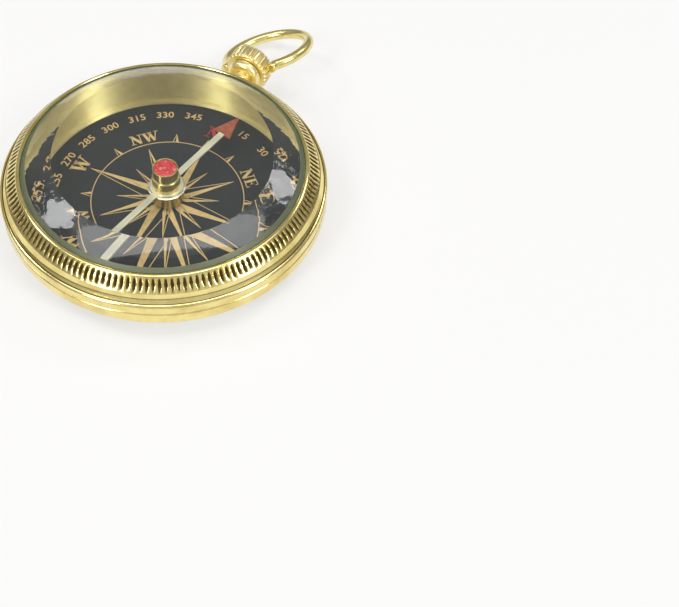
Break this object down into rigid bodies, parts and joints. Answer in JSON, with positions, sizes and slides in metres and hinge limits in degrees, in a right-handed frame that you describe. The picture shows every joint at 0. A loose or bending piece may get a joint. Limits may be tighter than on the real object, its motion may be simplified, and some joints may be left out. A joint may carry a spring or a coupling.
{
  "type": "pocket compass",
  "caption": "Brass pocket compass with a bevelled crystal, a printed dial, a free needle on a pin and a crown with a swinging bow.",
  "frame": {"origin": "the point on the dial's axis in the plane of the back's resting face", "axes": "+Z is the dial's axis, out through the crystal; +Y runs from the dial's axis to the crown, the dial's north; +X is the dial's east"},
  "size_m": [0.05, 0.0681, 0.0122],
  "materials": {
    "case_brass": "polished pale yellow brass",
    "plate_brass": "brushed pale brass, engraving filled black",
    "crystal": "clear polished glass",
    "gasket": "matt grey-green",
    "sleeve_brass": "drawn brass, satin",
    "dial_card": "matt charcoal, printed in tan",
    "hub_brass": "turned brass, dulled",
    "steel": "polished",
    "needle": "bright, with a red lacquered head",
    "washer": "polished",
    "jewel": "polished red stone",
    "crown_brass": "polished brass, a little deeper",
    "bow_brass": "polished brass wire"
  },
  "bodies": {
    "case": {"case_back": "case_brass", "back_plate": "plate_brass", "front_bezel": "case_brass", "crystal": "crystal", "crystal_gasket": "gasket", "inner_sleeve": "sleeve_brass", "dial": "dial_card", "dial_ring": "sleeve_brass", "pivot_boss": "hub_brass", "pivot_pin": "steel", "pendant_neck": "crown_brass", "pendant_collar": "case_brass", "crown_screw": "crown_brass"},
    "rotor": {"needle": "needle", "hub_collar": "hub_brass", "hub_washer": "washer", "hub_cap": "hub_brass", "hub_jewel": "jewel"},
    "crown": {"crown": "crown_brass"},
    "bow": {"bow": "bow_brass"}
  },
  "joints": [
    {"name": "needle_spin", "type": "hinge", "parent": "case", "child": "rotor", "pos_m": [0, 0, 0.004], "axis": [0, 0, 1], "continuous": true},
    {"name": "crown_turn", "type": "hinge", "parent": "case", "child": "crown", "pos_m": [0, 0.02905, 0.0056], "axis": [0, 1, 0], "continuous": true},
    {"name": "bow_swing", "type": "hinge", "parent": "crown", "child": "bow", "pos_m": [0, 0.02905, 0.0056], "axis": [0.9135, 0, 0.4067], "range_deg": [-102, 123]}
  ]
}
